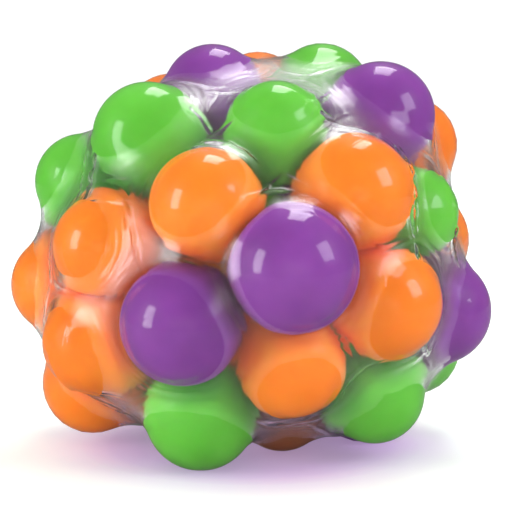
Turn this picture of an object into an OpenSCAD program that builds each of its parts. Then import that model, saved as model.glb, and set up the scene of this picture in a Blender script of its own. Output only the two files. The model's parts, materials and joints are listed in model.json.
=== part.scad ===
// Squeeze ball: a clear elastic skin shrunk over a cluster of coloured gel balls.
// The front faces -Y, +Z is up, and the ball stands on z = 0 on its lowest bumps.

/* [Packing] */
// Width of the room that the bumps fill, left to right (mm)
room_w = 80; // [80:0.5:86]
// Depth of that room, front to back (mm)
room_d = 78; // [78:0.5:84]
// Height of that room (mm)
room_h = 70.8; // [70.8:0.2:76]
// How boxy the room is: 2 is an ellipsoid, more bulges at the corners
room_power = 2.5; // [2.3:0.1:2.8]

/* [Skin] */
// Thickness of the clear skin (mm)
wall = 1; // [0.8:0.1:1.2]
// Space between a gel ball and the skin (mm)
gap = 0.3; // [0.2:0.05:0.4]
// Radius of the web between the bumps, round the middle (mm)
web_r = 34; // [33.5:0.5:35]
// How far the web's own middle lies behind the packing's middle (mm)
web_back = 2.5; // [2:0.5:3]
// Height of the web above and below the middle (mm)
web_top = 30; // [29.5:0.5:30.5]
// How far the lowest bumps are pressed flat by the surface under them (mm)
press = 0.6; // [0.4:0.1:0.8]

/* [Fill plug] */
// Direction of the plug from the middle, turned from the front to the right (degrees)
plug_azimuth = -142; // [-144:1:-140]
// Direction of the plug, up from level (degrees)
plug_elevation = -5; // [-8:1:-3]
// Radius of the fill hole (mm)
hole_r = 2.2; // [1.8:0.1:2.6]
// Distance of the collar's outer face from the middle (mm)
collar_out = 38; // [37:0.5:39]

/* [Hidden] */
$fn = 96;

// One row for each gel ball: name, diameter (mm), direction from the middle as
// azimuth (0 is the front, 90 is the right side) and elevation (degrees), and how
// deep it lies under the inside of the room (mm). The first rows are the bumps
// that face the viewer, the next are the bumps of the back, the last is the core.
BUMPS = [
    ["purple_1", 17.5,   12,   5, -0.5],
    ["purple_2", 16.5,  -23, -13,  1.5],
    ["purple_3", 14.0, -137,  69,    0],
    ["purple_4", 15.5,   91,  48, -1.5],
    ["purple_5", 15.5,   85, -16, -0.5],
    ["purple_6", 13.0,   97, -52, -0.5],
    ["orange_1", 15.0,  -18,  26,    5],
    ["orange_2", 16.0,   41,  28,  4.5],
    ["orange_3", 14.0,  116,  30,   -1],
    ["orange_4", 15.5,   47,  -9,  3.5],
    ["orange_5", 14.5,   15, -31,  4.5],
    ["orange_6", 13.5,  -59,   8,    5],
    ["orange_7", 14.0,  -93,  -9,   -1],
    ["orange_8", 14.5,  -61, -22,  1.5],
    ["orange_9", 14.5,  -93, -39, -3.5],
    ["orange_10", 13.5,  178,  48,   -2],
    ["orange_11", 13.0,   46, -75,    3],
    ["green_1", 15.5,  -68,  48,  2.5],
    ["green_2", 13.5,   17,  61,    4],
    ["green_3", 14.0,  139,  56, -1.5],
    ["green_4", 11.5,   70,  17,    5],
    ["green_5", 14.0,   61, -43,    1],
    ["green_6", 15.5,  -26, -50, -0.5],
    ["green_7", 13.5,  -95,  23,  1.5],
    ["green_8", 13.5,  112, -31, -1.5],
    ["green_9", 14.5,  133, -15,    0],
    ["orange_12", 15.0, -144,  40,  0.5],
    ["purple_7", 15.0, -178, -53,    0],
    ["green_10", 15.0, -119, -58,  1.5],
    ["orange_13", 15.0,  111,   2,    2],
    ["green_11", 15.0,  169,  13,    0],
    ["purple_8", 15.0,  139,  14,    0],
    ["orange_14", 15.0,  139, -45,    0],
    ["orange_15", 15.0,  161, -22,    0],
    ["purple_9", 15.0, -162,  15, -0.5],
    ["orange_16", 14.5, -127,  17, -0.5],
    ["green_12", 15.0, -170, -15,    0],
    ["purple_10", 15.0, -119, -16,    0],
    ["orange_17", 15.0, -145, -34,    0],
];
CORE = [
    ["orange_18", 15.0,  -26, -31, 17.5],
    ["purple_11", 15.0,  118,  73,   10],
    ["orange_19", 15.0,  -85, -26, 12.5],
    ["orange_20", 15.0, -105,  28,   15],
    ["orange_21", 15.0,   74,  20,   17],
    ["green_13", 15.0,   48, -39,   16],
    ["purple_12", 15.0, -157, -76,   14],
    ["green_14", 15.0, -139, -18, 15.5],
    ["purple_13", 14.5,  107, -29, 12.5],
    ["green_15", 15.0,  -32,  45,   18],
    ["orange_22", 15.0,  156, -11,   15],
    ["green_16", 15.0, -168,  34, 13.5],
];
BALLS = concat(BUMPS, CORE);

cover = gap + wall;

// Unit direction of an azimuth and an elevation
function way(azimuth, elevation) = [
    sin(azimuth) * cos(elevation),
    -cos(azimuth) * cos(elevation),
    sin(elevation)
];

// How far out along a direction a bump of this radius can lie inside the room
function reach(dir, bump_r) = pow(
    pow(abs(dir.x) / (room_w / 2 - bump_r), room_power)
    + pow(abs(dir.y) / (room_d / 2 - bump_r), room_power)
    + pow(abs(dir.z) / (room_h / 2 - bump_r), room_power),
    -1 / room_power
);

function radius(ball) = ball[1] / 2;
function bump(ball) = radius(ball) + cover;
function spot(ball) = way(ball[2], ball[3]) * (reach(way(ball[2], ball[3]), bump(ball)) - ball[4]);

// The middle of the packing in the part's frame: centred, with the floor at z = 0
left = min([for (b = BUMPS) spot(b).x - bump(b)]);
right = max([for (b = BUMPS) spot(b).x + bump(b)]);
front = min([for (b = BUMPS) spot(b).y - bump(b)]);
back = max([for (b = BUMPS) spot(b).y + bump(b)]);
lowest = min([for (b = BUMPS) spot(b).z - bump(b)]);
middle = [-(left + right) / 2, -(front + back) / 2, -lowest - press];

// The web is a ball flattened above and below by two larger ones
cap_r = 46;

// Fill hole: a collar on the skin, and a plug with a flange and a stem
collar_r = 4.2;
collar_len = 4;
flange_r = 3.4;
flange_len = 1.2;
stem_len = 4.6;
stem_clear = 0.05;

// A sphere at a ball's place, with its poles on the line out from the middle
module ball_at(b, r) {
    translate(middle + spot(b)) rotate([0, 90 - b[3], b[2] - 90]) sphere(r = r);
}

// The web's body, shrunk by "inset"
module web(inset) {
    translate(middle + [0, web_back, 0]) intersection() {
        sphere(r = web_r - inset);
        translate([0, 0, web_top - cap_r]) sphere(r = cap_r - inset);
        translate([0, 0, cap_r - web_top]) sphere(r = cap_r - inset);
    }
}

// Moves what is drawn along +Z to lie along the plug's direction
module along_plug() {
    translate(middle) rotate([0, 90 - plug_elevation, plug_azimuth - 90]) children();
}

module skin_outside() {
    web(0);
    for (b = BUMPS) ball_at(b, bump(b));
    along_plug() translate([0, 0, collar_out - collar_len]) cylinder(h = collar_len, r = collar_r);
}

module skin_inside() {
    web(wall);
    for (b = BUMPS) ball_at(b, radius(b) + gap);
}

// The surface under the toy, which presses the lowest bumps flat
module under() {
    translate([-room_w, -room_d, -room_h]) cube([2 * room_w, 2 * room_d, room_h]);
}

module skin() {
    color("whitesmoke", 0.3) difference() {
        skin_outside();
        skin_inside();
        along_plug() cylinder(h = room_w, r = hole_r);
        under();
    }
}

module plug() {
    color("gainsboro", 0.6) along_plug() {
        translate([0, 0, collar_out + stem_clear]) cylinder(h = flange_len, r = flange_r);
        translate([0, 0, collar_out - stem_len]) cylinder(h = stem_len + flange_len, r = hole_r - stem_clear);
    }
}

// Colour of a gel ball, from the first letter of its name
function gel(name) = name[0] == "p" ? "mediumorchid" : name[0] == "o" ? "darkorange" : "limegreen";

module gel_ball(b) {
    color(gel(b[0])) ball_at(b, radius(b));
}

skin();
plug();
for (b = BALLS) gel_ball(b);
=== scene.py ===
import json
import math
import bpy
import numpy as np
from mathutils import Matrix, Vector
from mathutils.kdtree import KDTree

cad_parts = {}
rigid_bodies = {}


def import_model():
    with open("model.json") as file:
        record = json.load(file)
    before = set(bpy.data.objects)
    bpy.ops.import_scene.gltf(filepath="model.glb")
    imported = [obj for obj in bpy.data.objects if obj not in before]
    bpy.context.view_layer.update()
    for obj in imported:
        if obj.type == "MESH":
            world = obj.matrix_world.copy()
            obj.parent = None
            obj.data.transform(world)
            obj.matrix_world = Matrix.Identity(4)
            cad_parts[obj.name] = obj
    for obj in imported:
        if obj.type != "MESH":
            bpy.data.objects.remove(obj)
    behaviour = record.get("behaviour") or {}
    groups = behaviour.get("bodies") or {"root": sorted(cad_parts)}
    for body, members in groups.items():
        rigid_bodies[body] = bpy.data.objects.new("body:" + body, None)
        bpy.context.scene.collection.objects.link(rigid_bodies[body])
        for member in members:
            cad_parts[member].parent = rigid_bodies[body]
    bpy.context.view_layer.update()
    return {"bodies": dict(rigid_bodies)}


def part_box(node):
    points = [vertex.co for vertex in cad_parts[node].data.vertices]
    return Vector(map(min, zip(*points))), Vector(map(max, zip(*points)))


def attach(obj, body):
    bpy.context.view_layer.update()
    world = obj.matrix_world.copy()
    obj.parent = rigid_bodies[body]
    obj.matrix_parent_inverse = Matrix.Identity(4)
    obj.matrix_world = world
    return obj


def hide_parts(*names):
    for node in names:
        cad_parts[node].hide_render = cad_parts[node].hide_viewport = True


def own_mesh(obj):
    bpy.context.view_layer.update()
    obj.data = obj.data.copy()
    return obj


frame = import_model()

scene = bpy.context.scene
MM = 0.001

# ---------------------------------------------------------------- sizes
BALLS = [b for b in frame["bodies"] if b != "skin"]
COVER = 1.3 * MM          # from a gel ball to the outside of the skin over it
THICK = 0.5 * MM          # thickness of the skin
THICKER = 0.25 * MM       # and how much more it has where it hangs free
WET = 0.05 * MM           # how far a ball presses into the inside of the skin
SWELL = 1.4 * MM          # how far a rounder gel ball swells past its CAD ball where nothing stops it
SWELL_MORE = 2.5 * MM     # and any other gel ball
FILL = 1.0 * MM           # how much further it swells on its inner side, into the gaps between the balls
SEAM = 0.07 * MM          # how far the flat of a gel ball stays short of the mid-plane to its neighbour
SHARP = 18.0              # how sharp the edges between its flats are
BALL_LEVEL = 4       # how often an icosahedron is split for a gel ball
START = 44                # radius in mm of the sphere that the skin is drawn tight from
OUT_TO_SKIN = 36          # about how many mm the skin is from its middle: makes a fold's angle a width
MOUND, MOUND_IN = 4.6, 3.4       # the mound under the collar: its radius, and its centre's depth, in mm
PINHOLE = 0.05            # radius in mm of the hole along the turned plug: its ends don't close on the axis
PIXELS = 505              # width of the image

corners = {b: [Vector(c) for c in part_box(b)] for b in BALLS}
middle = {b: np.array((c[0] + c[1]) / 2) for b, c in corners.items()}
radius = {b: (c[1] - c[0]).x / 2 for b, c in corners.items()}

skin_lo, skin_hi = [np.array(c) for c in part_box("skin")]
heart = (skin_lo + skin_hi) / 2
heart[2] -= 1.0 * MM

plug_lo, plug_hi = [np.array(c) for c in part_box("plug")]
plug_mid = (plug_lo + plug_hi) / 2


def direction(azimuth, elevation):
    """The unit vector that way, in degrees: azimuth 0 is the front, 90 is to the right."""
    a, e = math.radians(azimuth), math.radians(elevation)
    return np.array((math.sin(a) * math.cos(e), -math.cos(a) * math.cos(e), math.sin(e)))


plug_way = direction(-142, -5)


# ---------------------------------------------------------------- mesh helpers
def icosphere(level):
    t = (1 + 5 ** 0.5) / 2
    v = np.array([(-1, t, 0), (1, t, 0), (-1, -t, 0), (1, -t, 0), (0, -1, t), (0, 1, t),
                  (0, -1, -t), (0, 1, -t), (t, 0, -1), (t, 0, 1), (-t, 0, -1), (-t, 0, 1)], float)
    v /= np.linalg.norm(v[0])
    f = np.array([(0, 11, 5), (0, 5, 1), (0, 1, 7), (0, 7, 10), (0, 10, 11), (1, 5, 9), (5, 11, 4),
                  (11, 10, 2), (10, 7, 6), (7, 1, 8), (3, 9, 4), (3, 4, 2), (3, 2, 6), (3, 6, 8),
                  (3, 8, 9), (4, 9, 5), (2, 4, 11), (6, 2, 10), (8, 6, 7), (9, 8, 1)])
    for _ in range(level):
        v, f = split(v, f)
        v /= np.linalg.norm(v, axis=1)[:, None]
    return v, f


def split(v, f):
    """Each triangle into four."""
    e = np.sort(np.concatenate([f[:, [0, 1]], f[:, [1, 2]], f[:, [2, 0]]]), axis=1)
    u, inverse = np.unique(e, axis=0, return_inverse=True)
    inverse = inverse.ravel() + len(v)
    k = len(f)
    a, b, c = inverse[:k], inverse[k:2 * k], inverse[2 * k:]
    v = np.concatenate([v, (v[u[:, 0]] + v[u[:, 1]]) / 2])
    f = np.concatenate([np.c_[f[:, 0], a, c], np.c_[f[:, 1], b, a], np.c_[f[:, 2], c, b], np.c_[a, b, c]])
    return v, f


def split_some(v, f, chosen):
    """The chosen triangles into four, and their neighbours into two or three so that no gap opens."""
    e = np.sort(np.concatenate([f[:, [0, 1]], f[:, [1, 2]], f[:, [2, 0]]]), axis=1)
    u, inverse = np.unique(e, axis=0, return_inverse=True)
    inverse = inverse.ravel().reshape(3, -1).T
    marked = np.zeros(len(u), bool)
    marked[inverse[chosen].ravel()] = True
    new = np.cumsum(marked) - 1 + len(v)
    v = np.concatenate([v, ((v[u[:, 0]] + v[u[:, 1]]) / 2)[marked]])
    cut = marked[inverse]
    m = new[inverse]
    many = cut.sum(axis=1)
    parts = [f[many == 0]]
    t, q = f[many == 3], m[many == 3]
    parts += [np.c_[t[:, 0], q[:, 0], q[:, 2]], np.c_[t[:, 1], q[:, 1], q[:, 0]],
              np.c_[t[:, 2], q[:, 2], q[:, 1]], q]
    for k in range(3):
        i, j = (k + 1) % 3, (k + 2) % 3
        only = (many == 1) & cut[:, k]
        t, q = f[only], m[only, k]
        parts += [np.c_[t[:, k], q, t[:, j]], np.c_[q, t[:, i], t[:, j]]]
        both = (many == 2) & ~cut[:, k]
        t, q, r = f[both], m[both, i], m[both, j]
        parts += [np.c_[t[:, j], r, q], np.c_[t[:, k], t[:, i], q], np.c_[t[:, k], q, r]]
    return v, np.concatenate(parts)


def links(f, n):
    """Every edge once in each direction, and how many leave each vertex."""
    e = np.concatenate([f[:, [0, 1]], f[:, [1, 2]], f[:, [2, 0]]])
    e = np.unique(np.concatenate([e, e[:, ::-1]]), axis=0)
    return e[:, 0], e[:, 1], np.bincount(e[:, 0], minlength=n)


def around(value, net):
    """The mean of each vertex's neighbours."""
    a, b, count = net
    if value.ndim == 1:
        return np.bincount(a, value[b]) / count
    return np.stack([np.bincount(a, value[b, k]) for k in range(3)], axis=1) / count[:, None]


def normals(v, f):
    n = np.zeros_like(v)
    across = np.cross(v[f[:, 1]] - v[f[:, 0]], v[f[:, 2]] - v[f[:, 0]])
    for k in range(3):
        np.add.at(n, f[:, k], across)
    return n / np.linalg.norm(n, axis=1)[:, None]


def mesh_object(name, v, f, **values):
    mesh = bpy.data.meshes.new(name)
    mesh.vertices.add(len(v))
    mesh.vertices.foreach_set("co", np.asarray(v, np.float32).ravel())
    mesh.loops.add(f.size)
    mesh.loops.foreach_set("vertex_index", f.astype(np.int32).ravel())
    mesh.polygons.add(len(f))
    mesh.polygons.foreach_set("loop_start", np.arange(0, f.size, f.shape[1], dtype=np.int32))
    mesh.update()
    mesh.validate()
    mesh.polygons.foreach_set("use_smooth", np.ones(len(f), bool))
    for key, value in values.items():
        layer = mesh.attributes.new(key, "FLOAT", "POINT")
        layer.data.foreach_set("value", np.asarray(value, np.float32))
    obj = bpy.data.objects.new(name, mesh)
    scene.collection.objects.link(obj)
    return obj


def lumps(v, waves, seed):
    """A smooth wavy value from -1 to 1 at each point: a few plane waves of the given lengths, added up."""
    dice = np.random.default_rng(seed)
    total = np.zeros(len(v))
    for length in waves:
        way = dice.normal(size=3)
        way /= np.linalg.norm(way)
        total += np.sin(v @ way * (2 * math.pi / length) + dice.uniform(0, 6.28))
    return total / len(waves)


# ---------------------------------------------------------------- the skin, pulled tight over the balls
def tighten(v, f, centres, reach, steps, suck):
    """Slides the points tight, like a stretched film, but outside the balls and above the floor."""
    net = links(f, len(v))
    for step in range(steps):
        if step % 20 == 0:
            gap = np.linalg.norm(v[:, None] - centres[None], axis=2) - reach[None]
            order = np.argsort(gap, axis=1)[:, :4]
            out = normals(v, f)
        v = v + 0.6 * (around(v, net) - v) - suck * out
        for _ in range(2):
            for k in range(4):
                c, r = centres[order[:, k]], reach[order[:, k]]
                x = v - c
                far = np.linalg.norm(x, axis=1)
                hit = far < r
                v[hit] = c[hit] + x[hit] * (r[hit] / far[hit])[:, None]
        v[:, 2] = np.maximum(v[:, 2], 0)
    return v


# Folds in the skin: (azimuth, elevation) in degrees along it, its width and height in mm, how crinkled it is
FOLDS = (
    (((62, 37), (54, 28), (51, 18), (51, 8), (51, 1)), 0.8, 0.8, 0.8),
    (((66, 39), (60, 29), (55, 18), (53, 8)), 0.45, 0.4, 0.8),
    (((84, 26), (70, 20), (68, 13), (75, 5), (78, -3)), 0.6, 0.65, 0.7),
    (((-69, 37), (-66, 28), (-60, 19)), 0.7, 0.65, 0.8),
    (((-78, 34), (-71, 25), (-66, 18)), 0.4, 0.3, 0.6),
    (((-67, -15), (-60, -20), (-60, -28), (-66, -38), (-58, -45), (-45, -48)), 0.45, 0.3, 0.3),
    (((-21, 46), (-14, 52), (-5, 58), (1, 62)), 0.5, 0.2, 0.3),
    (((-47, 61), (-30, 57), (-16, 47)), 0.5, 0.2, 0.3),
    (((-50, 71), (-10, 72), (20, 74)), 0.45, 0.3, 0.3),
    (((-25, 41), (-20, 45), (-10, 45), (-1, 40), (6, 34)), 0.6, 0.3, 0.2),
    (((25, 60), (34, 56), (43, 51)), 0.35, 0.35, 0.2),
    (((52, 65), (34, 56), (27, 49)), 0.35, 0.35, 0.2),
    (((64, 62), (34, 56), (22, 53)), 0.3, 0.3, 0.2),
    (((35, 51), (44, 46), (53, 41), (64, 42)), 0.5, 0.3, 0.2),
    (((-6, 20), (0, 25), (8, 27), (16, 26)), 0.5, 0.3, 0.3),
    (((-46, 21), (-38, 13), (-34, 5), (-28, 0)), 0.5, 0.25, 0.2),
    (((-61, 18), (-55, 21), (-44, 22), (-36, 19)), 0.45, 0.25, 0.2),
    (((-2, -42), (11, -50), (24, -49), (32, -41)), 0.4, 0.3, 0.3),
    (((47, -12), (60, -22), (72, -29)), 0.4, 0.3, 0.3),
    (((15, 25), (21, 22), (26, 17), (28, 11)), 0.22, 0.12, 0.1),
    (((32, 36), (39, 38), (47, 36)), 0.22, 0.12, 0.1),
    (((38, 4), (37, -2), (35, -7), (31, -12), (26, -13)), 0.22, 0.12, 0.1),
    (((-10, 11), (-6, 15), (-3, 19)), 0.22, 0.12, 0.1),
    (((-57, 15), (-57, 8), (-56, 1), (-52, -5)), 0.22, 0.12, 0.1),
    (((-55, -12), (-55, -17), (-53, -24), (-54, -34), (-45, -37)), 0.22, 0.12, 0.1),
    (((34, -42), (33, -32), (37, -26), (44, -22)), 0.22, 0.12, 0.1),
)


def folded(v):
    """The height of the folds at each point, and how many fold widths away the nearest fold is."""
    d = v - heart
    d /= np.linalg.norm(d, axis=1)[:, None]
    height, nearest = np.zeros(len(v)), np.full(len(v), 99.0)
    for number, (path, width, tall, crinkle) in enumerate(FOLDS):
        q = np.array([direction(*p) for p in path])
        whole = np.linalg.norm(q[1:] - q[:-1], axis=1).sum()
        run, best, along = 0.0, np.full(len(v), 99.0), np.zeros(len(v))
        for a, b in zip(q[:-1], q[1:]):
            t = np.clip(((d - a) @ (b - a)) / ((b - a) @ (b - a)), 0, 1)
            off = np.linalg.norm(d - a - t[:, None] * (b - a), axis=1) * OUT_TO_SKIN
            step = np.linalg.norm(b - a)
            along[off < best] = (run + t * step)[off < best]
            best = np.minimum(best, off)
            run += step
        along /= whole
        wander = lumps(v / MM, (6.1, 4.3, 2.7), 20 + number)
        best = np.abs(best + 0.4 * width * wander)
        ends = np.clip(np.minimum(along, 1 - along) / 0.25, 0, 1)
        lines = 1 - crinkle * 0.5 * (1 - np.cos(best / width * (4.2 + wander)))
        patches = 1 - crinkle * np.clip(0.2 + 0.9 * lumps(v / MM, (4.1, 2.9, 2.2), number), 0, 1)
        height = np.maximum(height, tall * ends * lines * patches * np.exp(-(best / width) ** 2))
        nearest = np.minimum(nearest, best / width)
    return height * MM, nearest


def web_of(v):
    """How far each point of the skin is from the nearest ball and the next, and 1 where it hangs free."""
    off = np.sort(np.linalg.norm(v[:, None] - centres[None], axis=2) - reach[None], axis=1)[:, :2]
    return off[:, 0], off[:, 1], np.clip(off[:, 0] / (1.2 * MM), 0, 1)


def triangles(v, f):
    """How far to the front each triangle lies, how free the skin hangs there, and how near a fold is."""
    toward = (v[f].mean(axis=1) - heart) @ direction(0, 14)
    return toward, web_of(v)[2][f].max(axis=1), folded(v)[1][f].min(axis=1)


# The skin is drawn tight over the balls, and over a mound for the collar.
# It has no hole: the plug and the collar stand through it
centres = np.array([middle[b] for b in BALLS] + [plug_mid - plug_way * MOUND_IN * MM])
reach = np.array([radius[b] + COVER for b in BALLS] + [MOUND * MM])
v, f = icosphere(3)
v = v * START * MM + heart
stages = ((60, 0), (150, 0), (120, 0.01 * MM))
for stage, (steps, suck) in enumerate(stages):
    if stage > 0:
        v, f = split(v, f)
    v = tighten(v, f, centres, reach, steps, suck)
inner_faces, coarse = f, len(v)
toward, free, near = triangles(v, f)
v, f = split_some(v, f, (toward > -2 * MM) & (free > 0.2))
inner_faces, coarse = f, len(v)
toward, free, near = triangles(v, f)
long = np.linalg.norm(v[f] - v[f[:, (1, 2, 0)]], axis=2).max(axis=1) > 1.0 * MM
v, f = split_some(v, f, long & ((toward > -3 * MM) | (free > 0.5)))
v = tighten(v, f, centres, reach, 160, 0.004 * MM)
toward, free, near = triangles(v, f)
v, f = split_some(v, f, (toward > 3 * MM) & ((near < 1.1) | (free > 0.8)))
v = tighten(v, f, centres, reach, 30, 0)
toward, free, near = triangles(v, f)
v, f = split_some(v, f, (toward > 3 * MM) & (near < 0.7))
v = tighten(v, f, centres, reach, 6, 0)

# Its outside gets pleats between the balls, ripples and the folds; its inside stays smooth
gap, second, web = web_of(v)
net = links(f, len(v))
out = normals(v, f)
for _ in range(8):
    web = around(web, net)
some = np.clip(0.5 + 1.6 * lumps(v / MM, (31, 23, 17), 5), 0, 1)
pleat = 0.22 * MM * np.exp(-((second - gap) / (0.7 * MM)) ** 2) * some * web
phase = gap / (0.55 * MM) * math.pi + 2.2 * lumps(v / MM, (9, 7, 5), 8)
here = np.clip(0.6 + lumps(v / MM, (13, 8), 3), 0, 1)
ripple = 0.045 * MM * np.sin(phase) * web * here
smooth = v
v = v + out * (pleat + ripple)[:, None]
v = v + 0.5 * (around(v, net) - v) * web[:, None]
v = v + out * folded(smooth)[0][:, None]
v[:, 2] = np.maximum(v[:, 2], 0)
thick = THICK + THICKER * web
inside = (smooth - out * thick[:, None])[:coarse]
inner_faces = inner_faces[:, ::-1] + len(v)
skin = mesh_object("skin_film", np.concatenate([v, inside]), np.concatenate([f, inner_faces]),
                   web=np.concatenate([web, web[:coarse]]))
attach(skin, "skin")
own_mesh(skin)
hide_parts("skin")


# ---------------------------------------------------------------- gel balls
ROUND = ["purple_1", "purple_2", "purple_3", "purple_4", "orange_1", "orange_2", "orange_3", "orange_4",
         "orange_5", "green_1", "green_2", "green_3", "green_4", "green_6"]
full = {b: radius[b] + (SWELL if b in ROUND else SWELL_MORE) for b in BALLS}
unit, unit_faces = icosphere(BALL_LEVEL)
unit_net = links(unit_faces, len(unit))
film = KDTree(len(v))
for i, p in enumerate(smooth):
    film.insert(p, i)
film.balance()
balls = {}
for number, b in enumerate(BALLS):
    c, r = middle[b], full[b]
    outward = (c - heart) / np.linalg.norm(c - heart)
    grown = r + FILL * np.clip(-0.1 - unit @ outward, 0, 0.5) * 2
    size = grown ** -SHARP
    # painted shade and glow: 1 where this ball closely faces a neighbour; the gel material darkens it there
    # and adds a faint painted glow
    deep = np.zeros(len(unit))
    for other in BALLS:
        if other == b:
            continue
        way = middle[other] - c
        far = np.linalg.norm(way)
        if far > r + full[other] + 2 * FILL:
            continue
        way /= far
        facing = unit @ way
        flat = (far ** 2 + radius[b] ** 2 - radius[other] ** 2) / (2 * far) - SEAM
        touch = facing > 0.2
        size[touch] += (flat / facing[touch]) ** -SHARP
        deep = np.maximum(deep, np.clip((facing - 0.72) / 0.25, 0, 1))
    size = np.minimum(size ** (-1 / SHARP) * 1.004, grown)
    for _ in range(4):
        p = c + unit * size[:, None]
        nearest = np.array([film.find(q)[1] for q in p])
        depth = ((smooth[nearest] - p) * out[nearest]).sum(axis=1)
        lean = (unit * out[nearest]).sum(axis=1)
        damp = np.clip((gap[nearest] / MM - 0.25 - 0.15 * lumps(p / MM, (5, 4, 3), number)) / 0.5, 0, 1)
        least = thick[nearest] - WET + 2.2 * WET * damp
        over = (depth < least) & (lean > 0.25)
        size[over] -= ((least - depth) / np.maximum(lean, 0.25))[over]
    for _ in range(5):
        size = 0.5 * size + 0.5 * around(size, unit_net)
    ball = mesh_object(b + "_gel", c + unit * size[:, None], unit_faces, deep=deep)
    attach(ball, b)
    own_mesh(ball)
    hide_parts(b)
    balls[b] = ball


# ---------------------------------------------------------------- plug and collar
def lathe(name, profile, count=64):
    """A ring turned round plug_way, from (radius, height) pairs in mm; height 0 is the plug's middle."""
    side = np.cross(plug_way, (0, 0, 1))
    side /= np.linalg.norm(side)
    up = np.cross(side, plug_way)
    a = np.arange(count) / count * 2 * math.pi
    points = []
    for r, h in profile:
        rim = np.cos(a)[:, None] * side + np.sin(a)[:, None] * up
        points.append(plug_mid + plug_way * h * MM + r * MM * rim)
    v = np.concatenate(points)
    f = []
    for i in range(len(profile)):
        j = (i + 1) % len(profile)
        for k in range(count):
            m = (k + 1) % count
            f.append((i * count + k, i * count + m, j * count + m, j * count + k))
    return mesh_object(name, v, np.array(f))


plug = lathe("stopper", [(PINHOLE, 2.9), (2.6, 2.9), (3.2, 2.7), (3.4, 2.3), (3.4, 2.0),
                         (3.2, 1.7), (2.2, 1.6), (2.15, -2.4), (1.7, -2.9), (PINHOLE, -2.9)])
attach(plug, "skin")
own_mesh(plug)
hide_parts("plug")
collar = lathe("skin_collar", [(2.25, 1.55), (3.6, 1.55), (4.0, 1.4), (4.2, 1.0), (4.25, -0.6),
                               (5.0, -2.2), (2.25, -2.2)])
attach(collar, "skin")
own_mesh(collar)
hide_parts("skin")


# ---------------------------------------------------------------- materials
def material(name):
    mat = bpy.data.materials.new(name)
    mat.use_nodes = True
    tree = mat.node_tree
    return mat, tree, tree.nodes["Principled BSDF"]


def add(tree, kind, **inputs):
    """A new node, with constants for its named inputs."""
    node = tree.nodes.new(kind)
    for key, value in inputs.items():
        node.inputs[key].default_value = value
    return node


def maths(tree, operation, *values):
    """The result of a sum: each value is a socket or a number."""
    node = add(tree, "ShaderNodeMath")
    node.operation = operation
    for socket, value in zip(node.inputs, values):
        if isinstance(value, float):
            socket.default_value = value
        else:
            tree.links.new(value, socket)
    return node.outputs[0]


def noise(tree, where, scale, detail):
    node = add(tree, "ShaderNodeTexNoise", Scale=scale, Detail=detail)
    tree.links.new(where.outputs["Object"], node.inputs["Vector"])
    return node.outputs["Fac"]


def ramp(tree, value, *stops):
    """A colour ramp between two stops, each a position and a colour."""
    node = add(tree, "ShaderNodeValToRGB")
    for element, (position, colour) in zip(node.color_ramp.elements, stops):
        element.position = position
        element.color = (*colour, 1)
    tree.links.new(value, node.inputs["Fac"])
    return node.outputs["Color"]


def attribute(tree, name):
    node = add(tree, "ShaderNodeAttribute")
    node.attribute_name = name
    return node.outputs["Fac"]


def emboss(tree, bsdf, height, strength, distance):
    node = add(tree, "ShaderNodeBump", Strength=strength, Distance=distance)
    tree.links.new(height, node.inputs["Height"])
    tree.links.new(node.outputs["Normal"], bsdf.inputs["Normal"])


def gel(name, pale, rich, dark, glow):
    """A cloudy jelly that lets light in; where it faces its neighbours it has painted shade and a faint
    painted glow.
    """
    mat, tree, bsdf = material(name)
    link = tree.links.new
    where = add(tree, "ShaderNodeTexCoord")
    cloudy = ramp(tree, noise(tree, where, 90.0, 3.0), (0.35, rich), (0.7, pale))
    # painted shade: the base colour turns to the dark colour where the ball faces its neighbours, and the
    # same dark colour glows faintly there as painted glow
    deep = attribute(tree, "deep")
    mix = add(tree, "ShaderNodeMix")
    mix.data_type = "RGBA"
    link(deep, mix.inputs[0])
    link(cloudy, mix.inputs[6])
    mix.inputs[7].default_value = (*dark, 1)
    link(mix.outputs[2], bsdf.inputs["Base Color"])
    bsdf.inputs["Emission Color"].default_value = (*dark, 1)
    link(maths(tree, "MULTIPLY", deep, glow), bsdf.inputs["Emission Strength"])
    bsdf.inputs["Subsurface Weight"].default_value = 0.8
    bsdf.inputs["Subsurface Radius"].default_value = (1.0, 0.7, 0.6)
    bsdf.inputs["Subsurface Scale"].default_value = 3.0 * MM
    bsdf.inputs["Roughness"].default_value = 0.35
    bsdf.inputs["IOR"].default_value = 1.38
    bsdf.inputs["Specular IOR Level"].default_value = 0.2
    emboss(tree, bsdf, noise(tree, where, 700.0, 2.0), 0.15, 0.05 * MM)
    return mat


# each gel: pale and rich colours varying at random, the dark colour of its painted shade and glow, and that
# glow's strength
COLOURS = {
    "green": gel("green_gel_jelly", (0.145, 0.52, 0.06), (0.115, 0.45, 0.04), (0.05, 0.25, 0.03), 0.15),
    "orange": gel("orange_gel_jelly", (0.82, 0.25, 0.022), (0.78, 0.205, 0.014), (0.76, 0.12, 0.015), 0.12),
    "purple": gel("purple_gel_jelly", (0.25, 0.062, 0.33), (0.20, 0.046, 0.27), (0.10, 0.015, 0.08), 0.15),
}
# orange_11 gets a darker, brownish copy of the orange gel: painted shade, not a different gel colour
ORANGE_PAINTED_SHADE = gel("orange_gel_painted_shade", (0.34, 0.13, 0.05), (0.26, 0.09, 0.03), (0.12, 0.03, 0.01), 0.0)
for b, ball in balls.items():
    ball.data.materials.append(ORANGE_PAINTED_SHADE if b == "orange_11" else COLOURS[b.split("_")[0]])


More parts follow.
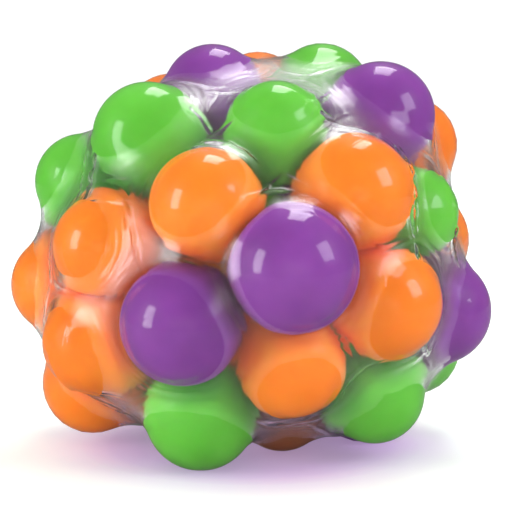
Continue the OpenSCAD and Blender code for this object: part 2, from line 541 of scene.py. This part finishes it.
def clear(name, tint, rough, film=False):
    """A clear rubber, smeared unevenly; a film is also milkier where it hangs free, and finely uneven."""
    mat, tree, bsdf = material(name)
    bsdf.inputs["Base Color"].default_value = (*tint, 1)
    bsdf.inputs["Transmission Weight"].default_value = 1.0
    bsdf.inputs["IOR"].default_value = 1.38
    where = add(tree, "ShaderNodeTexCoord")
    wear = add(tree, "ShaderNodeMapRange", **{"To Min": rough * 0.5, "To Max": rough * 1.6})
    tree.links.new(noise(tree, where, 60.0, 4.0), wear.inputs["Value"])
    haze = wear.outputs["Result"]
    if film:
        patches = maths(tree, "MULTIPLY", attribute(tree, "web"), noise(tree, where, 110.0, 3.0))
        haze = maths(tree, "MULTIPLY_ADD", patches, 0.14, haze)
        emboss(tree, bsdf, noise(tree, where, 260.0, 2.0), 0.6, 0.006 * MM)
    tree.links.new(haze, bsdf.inputs["Roughness"])
    return mat


CLEAR = clear("clear_skin_rubber", (0.99, 0.99, 1.0), 0.11, film=True)
RUBBER = clear("plug_rubber", (0.92, 0.93, 0.95), 0.3)
for piece, rubber in ((skin, CLEAR), (collar, CLEAR), (plug, RUBBER)):
    piece.data.materials.append(rubber)
    piece.visible_shadow = False


# ---------------------------------------------------------------- floor, light, camera
def mirrored(tree, path, seen, reflected):
    """Shows reflections a dimmer studio, as behind a photographer, and everything else the bright one."""
    less = add(tree, "ShaderNodeMath")
    less.operation = "SUBTRACT"
    less.use_clamp = True
    tree.links.new(path.outputs["Is Glossy Ray"], less.inputs[0])
    tree.links.new(path.outputs["Is Transmission Ray"], less.inputs[1])
    pick = add(tree, "ShaderNodeMixShader")
    tree.links.new(less.outputs[0], pick.inputs[0])
    tree.links.new(seen, pick.inputs[1])
    tree.links.new(reflected, pick.inputs[2])
    return pick.outputs[0]


# The floor is white, with a painted lilac shadow near the ball: there its base colour is darker lilac and its
# emission dimmer and lilac
bpy.ops.mesh.primitive_circle_add(vertices=128, radius=0.34, fill_type="NGON", location=(0, 0.05, -0.0002))
floor = bpy.context.object
floor.name = "floor"
floor_white, tree, glow = material("floor_white")
glow.inputs["Roughness"].default_value = 0.6
glow.inputs["Specular IOR Level"].default_value = 0.2
spot = add(tree, "ShaderNodeTexCoord")
away = add(tree, "ShaderNodeVectorMath")
away.operation = "DISTANCE"
away.inputs[1].default_value = (0.0, -0.05, 0.0)
tree.links.new(spot.outputs["Object"], away.inputs[0])
away = away.outputs["Value"]
# painted shadow: lilac base near the ball; further out a greenish base under lilac emission adds up to white
# and turns real shadows lilac
tint = ramp(tree, away, (0.022, (0.55, 0.42, 0.66)), (0.038, (0.83, 0.94, 0.81)))
tree.links.new(tint, glow.inputs["Base Color"])
tint = ramp(tree, away, (0.022, (0.74, 0.54, 0.86)), (0.037, (0.97, 0.92, 1.0)))
tree.links.new(tint, glow.inputs["Emission Color"])
# painted shadow: the floor's emission is weaker near the ball
painted_shadow_lift = add(tree, "ShaderNodeMapRange",
           **{"From Min": 0.016, "From Max": 0.031, "To Min": 0.36, "To Max": 0.48})
painted_shadow_lift.interpolation_type = "SMOOTHSTEP"
tree.links.new(away, painted_shadow_lift.inputs["Value"])
tree.links.new(painted_shadow_lift.outputs["Result"], glow.inputs["Emission Strength"])
dull = add(tree, "ShaderNodeBsdfDiffuse", Color=(0.38, 0.38, 0.38, 1))
surface = mirrored(tree, add(tree, "ShaderNodeLightPath"), glow.outputs[0], dull.outputs[0])
tree.links.new(surface, tree.nodes["Material Output"].inputs["Surface"])
floor.data.materials.append(floor_white)

world = bpy.data.worlds.new("studio")
scene.world = world
world.use_nodes = True
tree = world.node_tree
room, back, dim = (add(tree, "ShaderNodeBackground", Color=(1, 1, 1, 1), Strength=strength)
                   for strength in (0.46, 1.05, 0.18))
path = add(tree, "ShaderNodeLightPath")
pick = add(tree, "ShaderNodeMixShader")
tree.links.new(path.outputs["Is Camera Ray"], pick.inputs[0])
tree.links.new(mirrored(tree, path, room.outputs[0], dim.outputs[0]), pick.inputs[1])
tree.links.new(back.outputs[0], pick.inputs[2])
tree.links.new(pick.outputs[0], tree.nodes["World Output"].inputs["Surface"])


def softbox(name, way, distance, wide, high, power, colour=(1, 1, 1)):
    data = bpy.data.lights.new(name, "AREA")
    data.shape = "RECTANGLE"
    data.size = wide
    data.size_y = high
    data.energy = power
    data.color = colour
    obj = bpy.data.objects.new(name, data)
    scene.collection.objects.link(obj)
    at = Vector(heart) + Vector(way).normalized() * distance
    obj.location = at
    obj.rotation_euler = (at - Vector(heart)).to_track_quat("Z", "Y").to_euler()
    obj.visible_camera = False
    return obj


softbox("top_box", (0.12, 0.44, 0.885), 0.6, 0.22, 0.30, 1.5)
softbox("left_box", (-0.88, -0.40, 0.24), 0.6, 0.20, 0.36, 1.7)
fill = softbox("front_fill", (0.0, -1.0, 0.12), 0.7, 0.7, 0.25, 1.3)
fill.visible_glossy = False
softbox("right_box", (0.85, -0.36, 0.50), 0.6, 0.26, 0.30, 1.4, (0.94, 0.9, 1.0))

camera = bpy.data.objects.new("camera", bpy.data.cameras.new("camera"))
scene.collection.objects.link(camera)
scene.camera = camera
aim = Vector((0.56, 0.42, 31.98)) * MM
tilt = math.radians(9)
camera.location = aim + 0.42 * Vector((0, -math.cos(tilt), math.sin(tilt)))
camera.rotation_euler = (camera.location - aim).to_track_quat("Z", "Y").to_euler()
camera.data.lens = 178.9
camera.data.sensor_width = 36
camera.data.shift_x = -1.0 / PIXELS
camera.data.shift_y = 3.0 / PIXELS
camera.data.clip_start = 0.01
scene.view_settings.view_transform = "Standard"
scene.view_settings.look = "None"
